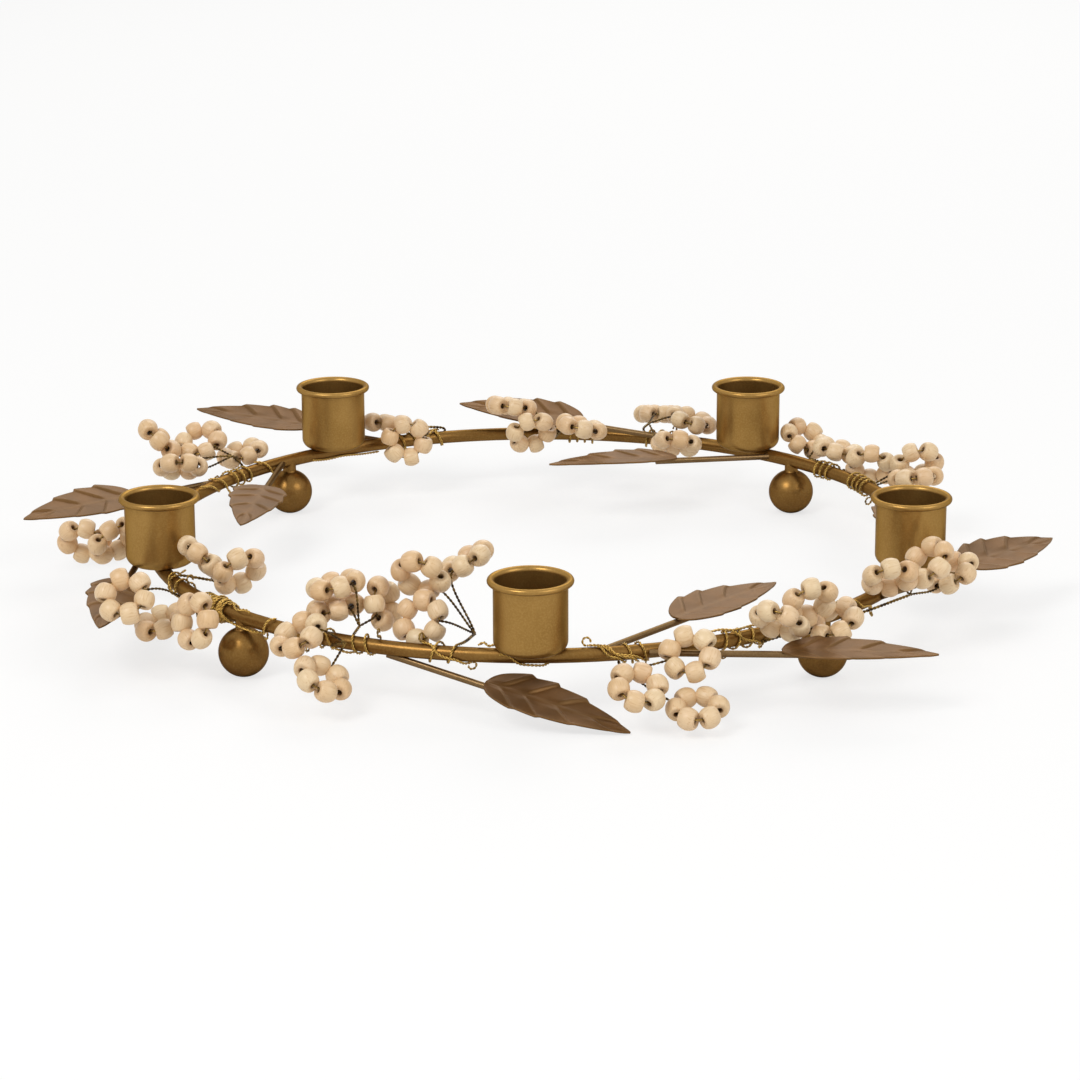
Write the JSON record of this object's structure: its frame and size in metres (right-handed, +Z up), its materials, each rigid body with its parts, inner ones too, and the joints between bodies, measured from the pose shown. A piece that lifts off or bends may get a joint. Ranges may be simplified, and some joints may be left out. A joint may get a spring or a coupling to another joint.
{
  "type": "candle ring",
  "caption": "Low metal candle ring on ball feet: candle cups on a round hoop, with pressed metal leaves on stalks and wired sprigs of wooden beads.",
  "frame": {"origin": "on the table, under the centre of the hoop", "axes": "+Z up, -Y towards the front cup, +X to the viewer's right"},
  "size_m": [0.3649, 0.3142, 0.048],
  "materials": {
    "gold_paint": "matt antique-gold metallic paint on steel",
    "leaf_paint": "matt antique-gold metallic paint on pressed sheet, a little browner",
    "bare_wood": "bare pale turned wood",
    "sprig_wire": "thin twisted craft wire, dulled"
  },
  "bodies": {
    "root": {"hoop": "gold_paint", "candle_cup_1": "gold_paint", "candle_cup_2": "gold_paint", "candle_cup_3": "gold_paint", "candle_cup_4": "gold_paint", "candle_cup_5": "gold_paint", "ball_foot_1": "gold_paint", "ball_foot_2": "gold_paint", "ball_foot_3": "gold_paint", "ball_foot_4": "gold_paint", "leaf_01": "leaf_paint", "leaf_stalk_01": "gold_paint", "leaf_02": "leaf_paint", "leaf_stalk_02": "gold_paint", "leaf_03": "leaf_paint", "leaf_stalk_03": "gold_paint", "leaf_04": "leaf_paint", "leaf_stalk_04": "gold_paint", "leaf_05": "leaf_paint", "leaf_stalk_05": "gold_paint", "leaf_06": "leaf_paint", "leaf_stalk_06": "gold_paint", "leaf_07": "leaf_paint", "leaf_stalk_07": "gold_paint", "leaf_08": "leaf_paint", "leaf_stalk_08": "gold_paint", "leaf_09": "leaf_paint", "leaf_stalk_09": "gold_paint", "leaf_10": "leaf_paint", "leaf_stalk_10": "gold_paint", "leaf_11": "leaf_paint", "leaf_stalk_11": "gold_paint", "bead_sprig_01": "bare_wood", "sprig_wire_01": "sprig_wire", "bead_sprig_02": "bare_wood", "sprig_wire_02": "sprig_wire", "bead_sprig_03": "bare_wood", "sprig_wire_03": "sprig_wire", "bead_sprig_04": "bare_wood", "sprig_wire_04": "sprig_wire", "bead_sprig_05": "bare_wood", "sprig_wire_05": "sprig_wire", "bead_sprig_06": "bare_wood", "sprig_wire_06": "sprig_wire", "bead_sprig_07": "bare_wood", "sprig_wire_07": "sprig_wire", "bead_sprig_08": "bare_wood", "sprig_wire_08": "sprig_wire", "bead_sprig_09": "bare_wood", "sprig_wire_09": "sprig_wire", "bead_sprig_10": "bare_wood", "sprig_wire_10": "sprig_wire", "bead_sprig_11": "bare_wood", "sprig_wire_11": "sprig_wire", "bead_sprig_12": "bare_wood", "sprig_wire_12": "sprig_wire", "bead_sprig_13": "bare_wood", "sprig_wire_13": "sprig_wire"}
  },
  "joints": []
}
